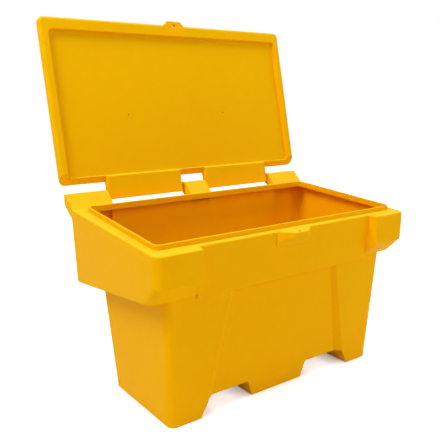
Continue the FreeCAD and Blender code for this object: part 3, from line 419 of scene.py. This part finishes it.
def finish_mesh(name, shape, material):
    """Turn a bmesh into a finished object that rides on the tub."""
    bmesh.ops.recalc_face_normals(shape, faces=shape.faces)
    mesh = bpy.data.meshes.new(name)
    shape.to_mesh(mesh)
    shape.free()
    mesh.materials.append(material)
    for face in mesh.polygons:
        face.use_smooth = True
    mesh.set_sharp_from_angle(angle=SHARP_ANGLE)
    piece = bpy.data.objects.new(name, mesh)
    bpy.context.scene.collection.objects.link(piece)
    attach(piece, "tub_body")
    return piece


def shape_rod(settings):
    """A plain rod along X, with a chamfer round each end."""
    radius = (ROD_HIGH.z - ROD_LOW.z) / 2
    shape = bmesh.new()
    bmesh.ops.create_cone(
        shape, cap_ends=True, segments=settings.cap_steps, radius1=radius, radius2=radius,
        depth=ROD_HIGH.x - ROD_LOW.x,
        matrix=Matrix.Translation(ROD_MIDDLE) @ Matrix.Rotation(math.pi / 2, 4, "Y"))
    ends = [edge for edge in shape.edges if any(len(face.verts) > 4 for face in edge.link_faces)]
    bmesh.ops.bevel(
        shape, geom=ends, offset=settings.rod_chamfer, segments=2, profile=0.5,
        affect="EDGES", material=-1)
    return shape


def turn_cap(side, steps):
    """A domed cap with a gripping flange, spun about the rod's axis."""
    inner, outer = CAP_LOW.x, CAP_HIGH.x
    length = outer - inner
    reach = (CAP_HIGH.z - CAP_LOW.z) / 2
    bore = (ROD_HIGH.z - ROD_LOW.z) / 2
    mouth = [(inner, bore + CAP_BORE_PLAY), (inner, reach * CAP_MOUTH),
             (inner + CAP_MOUTH_STEP, reach)]
    dome = [(inner + length * along, reach * out) for along, out in CAP_DOME]
    shape = bmesh.new()
    corners = [
        shape.verts.new((side * along, ROD_MIDDLE.y, ROD_MIDDLE.z + up))
        for along, up in mouth + dome + [(outer, 0.0)]]
    lines = [shape.edges.new(pair) for pair in zip(corners, corners[1:])]
    bmesh.ops.spin(
        shape, geom=corners + lines, cent=ROD_MIDDLE, axis=(1, 0, 0), angle=math.tau,
        steps=steps, use_merge=True, use_duplicate=False)
    bmesh.ops.remove_doubles(shape, verts=shape.verts, dist=MERGE_DISTANCE)
    rim = [edge for edge in shape.edges if edge.is_boundary]
    bmesh.ops.contextual_create(shape, geom=rim)
    return shape


class GRITBIN_OT_tub(bpy.types.Operator):
    """Give the tub its moulded yellow plastic"""
    bl_idname = "gritbin.tub"
    bl_label = "Tub"

    def execute(self, context):
        dress("tub", context.scene.gritbin_plastic)
        return {"FINISHED"}


class GRITBIN_OT_lid(bpy.types.Operator):
    """Give the double-skinned lid its moulded yellow plastic"""
    bl_idname = "gritbin.lid"
    bl_label = "Lid"

    def execute(self, context):
        dress("lid", context.scene.gritbin_plastic)
        return {"FINISHED"}


class GRITBIN_OT_rod(bpy.types.Operator):
    """Build the galvanised hinge rod with chamfered ends"""
    bl_idname = "gritbin.rod"
    bl_label = "Hinge Rod"

    def execute(self, context):
        settings = context.scene.gritbin_hardware
        piece = finish_mesh(
            "galvanised_hinge_rod", shape_rod(settings), make_zinc(settings))
        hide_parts("hinge_rod")
        return {"FINISHED"}


class GRITBIN_OT_caps(bpy.types.Operator):
    """Turn the two push-on caps at the ends of the rod"""
    bl_idname = "gritbin.caps"
    bl_label = "Rod Caps"

    def execute(self, context):
        settings = context.scene.gritbin_hardware
        black = make_cap_black(settings)
        for side, label in ((1, "right"), (-1, "left")):
            shape = turn_cap(side, settings.cap_steps)
            piece = finish_mesh("push_cap_" + label, shape, black)
            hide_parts("rod_cap_" + label)
        return {"FINISHED"}


# Stage

def seen_light(tree):
    """1 for rays that see the background directly, in gloss or through glass."""
    path = tree.nodes.new("ShaderNodeLightPath")
    first = combine(
        tree, "MAXIMUM", path.outputs["Is Camera Ray"], path.outputs["Is Glossy Ray"])
    return combine(tree, "MAXIMUM", first, path.outputs["Is Transmission Ray"])


def make_floor_white(settings):
    """White floor: it takes the lamps' shadows, and glows by itself where the camera sees it, with a
    painted contact shadow in that glow round the feet.
    """
    material, shader = start_material("studio_floor")
    tree = material.node_tree
    place = tree.nodes.new("ShaderNodeTexCoord")
    grain = add_node(tree, "ShaderNodeTexNoise", {"Scale": 3.0, "Detail": 2.0})
    tree.links.new(place.outputs["Object"], grain.inputs["Vector"])
    paler = [min(1, FLOOR_GRAIN * part) for part in settings.floor_white]
    tint = between(tree, grain.outputs["Fac"], settings.floor_white, paler)
    tree.links.new(tint, shader.inputs["Base Color"])
    shader.inputs["Roughness"].default_value = 0.9
    shader.inputs["Specular IOR Level"].default_value = 0.0
    shader.inputs["Emission Color"].default_value = (1, 1, 1, 1)

    away = add_node(tree, "ShaderNodeVectorMath", operation="LENGTH")
    tree.links.new(place.outputs["Object"], away.inputs[0])
    glow = ranged(
        tree, away.outputs["Value"], low=GLOW_STARTS, high=GLOW_FULL,
        to_low=settings.near_glow, to_high=1.0)
    # Painted shadow: the floor's own glow darkens where the bin stands close
    painted_contact_shadow = add_node(
        tree, "ShaderNodeAmbientOcclusion", {"Distance": CONTACT_SHADOW}, samples=8)
    shaded = combine(tree, "MULTIPLY", glow, painted_contact_shadow.outputs["AO"])
    seen = combine(tree, "MULTIPLY", shaded, seen_light(tree))
    tree.links.new(seen, shader.inputs["Emission Strength"])
    return material


def lay_floor(settings):
    """A flat floor, far wider than the camera sees."""
    shape = bmesh.new()
    bmesh.ops.create_grid(shape, x_segments=1, y_segments=1, size=FLOOR_HALF)
    mesh = bpy.data.meshes.new("floor")
    shape.to_mesh(mesh)
    shape.free()
    mesh.materials.append(make_floor_white(settings))
    floor = bpy.data.objects.new("floor", mesh)
    bpy.context.scene.collection.objects.link(floor)


def add_lamp(name, place, width, power):
    """A round soft lamp that looks at the middle of the bin."""
    data = bpy.data.lights.new(name, "AREA")
    data.shape = "DISK"
    data.size = width
    data.energy = power
    lamp = bpy.data.objects.new(name, data)
    lamp.location = place
    bpy.context.scene.collection.objects.link(lamp)
    view = Vector(LAMP_TARGET) - lamp.location
    lamp.rotation_euler = view.to_track_quat("-Z", "Y").to_euler()


def make_sky(settings):
    """Faint light from all round, which the camera sees as white."""
    world = bpy.data.worlds.new("studio_sky")
    world.use_nodes = True
    tree = world.node_tree
    sky = tree.nodes["Background"]
    sky.inputs["Color"].default_value = (1, 1, 1, 1)
    level = add_node(tree, "ShaderNodeMix", {"A": settings.sky, "B": 1.0}, data_type="FLOAT")
    tree.links.new(seen_light(tree), level.inputs["Factor"])
    tree.links.new(level.outputs["Result"], sky.inputs["Strength"])
    return world


def place_camera(settings):
    """The camera, at the place from which the photograph was taken."""
    data = bpy.data.cameras.new("camera")
    data.lens = settings.lens
    data.sensor_width = SENSOR_WIDTH
    camera = bpy.data.objects.new("camera", data)
    camera.location = CAMERA_PLACE
    camera.rotation_euler = [math.radians(turn) for turn in CAMERA_TURN]
    bpy.context.scene.collection.objects.link(camera)
    return camera


class GRITBIN_OT_stage(bpy.types.Operator):
    """Set the white floor, the soft lamps, the sky and the camera"""
    bl_idname = "gritbin.stage"
    bl_label = "Stage"

    def execute(self, context):
        scene = context.scene
        settings = scene.gritbin_studio
        lay_floor(settings)
        for name, place, width, power in LAMPS:
            add_lamp(name, place, width, getattr(settings, power))
        scene.world = make_sky(settings)
        scene.camera = place_camera(settings)
        scene.view_settings.view_transform = "Standard"
        return {"FINISHED"}


class GRITBIN_PT_panel(bpy.types.Panel):
    """Lists the settings and the pieces of the grit bin"""
    bl_label = "Grit Bin"
    bl_idname = "GRITBIN_PT_panel"
    bl_space_type = "VIEW_3D"
    bl_region_type = "UI"
    bl_category = "Grit Bin"

    def draw(self, context):
        scene = context.scene
        for settings in (scene.gritbin_plastic, scene.gritbin_hardware, scene.gritbin_studio):
            box = self.layout.box()
            for word in settings.bl_rna.properties.keys():
                if word not in {"rna_type", "name"}:
                    box.prop(settings, word)
        for operator in PIECES:
            self.layout.operator(operator.bl_idname)


PIECES = (GRITBIN_OT_tub, GRITBIN_OT_lid, GRITBIN_OT_rod, GRITBIN_OT_caps, GRITBIN_OT_stage)
CLASSES = (MouldedPlastic, HingeHardware, Studio) + PIECES + (GRITBIN_PT_panel,)


def register():
    for item in CLASSES:
        bpy.utils.register_class(item)
    bpy.types.Scene.gritbin_plastic = bpy.props.PointerProperty(type=MouldedPlastic)
    bpy.types.Scene.gritbin_hardware = bpy.props.PointerProperty(type=HingeHardware)
    bpy.types.Scene.gritbin_studio = bpy.props.PointerProperty(type=Studio)


def unregister():
    del bpy.types.Scene.gritbin_studio
    del bpy.types.Scene.gritbin_hardware
    del bpy.types.Scene.gritbin_plastic
    for item in reversed(CLASSES):
        bpy.utils.unregister_class(item)


def main():
    register()
    bpy.ops.gritbin.tub()
    bpy.ops.gritbin.lid()
    bpy.ops.gritbin.rod()
    bpy.ops.gritbin.caps()
    bpy.ops.gritbin.stage()


if __name__ == "__main__":
    main()
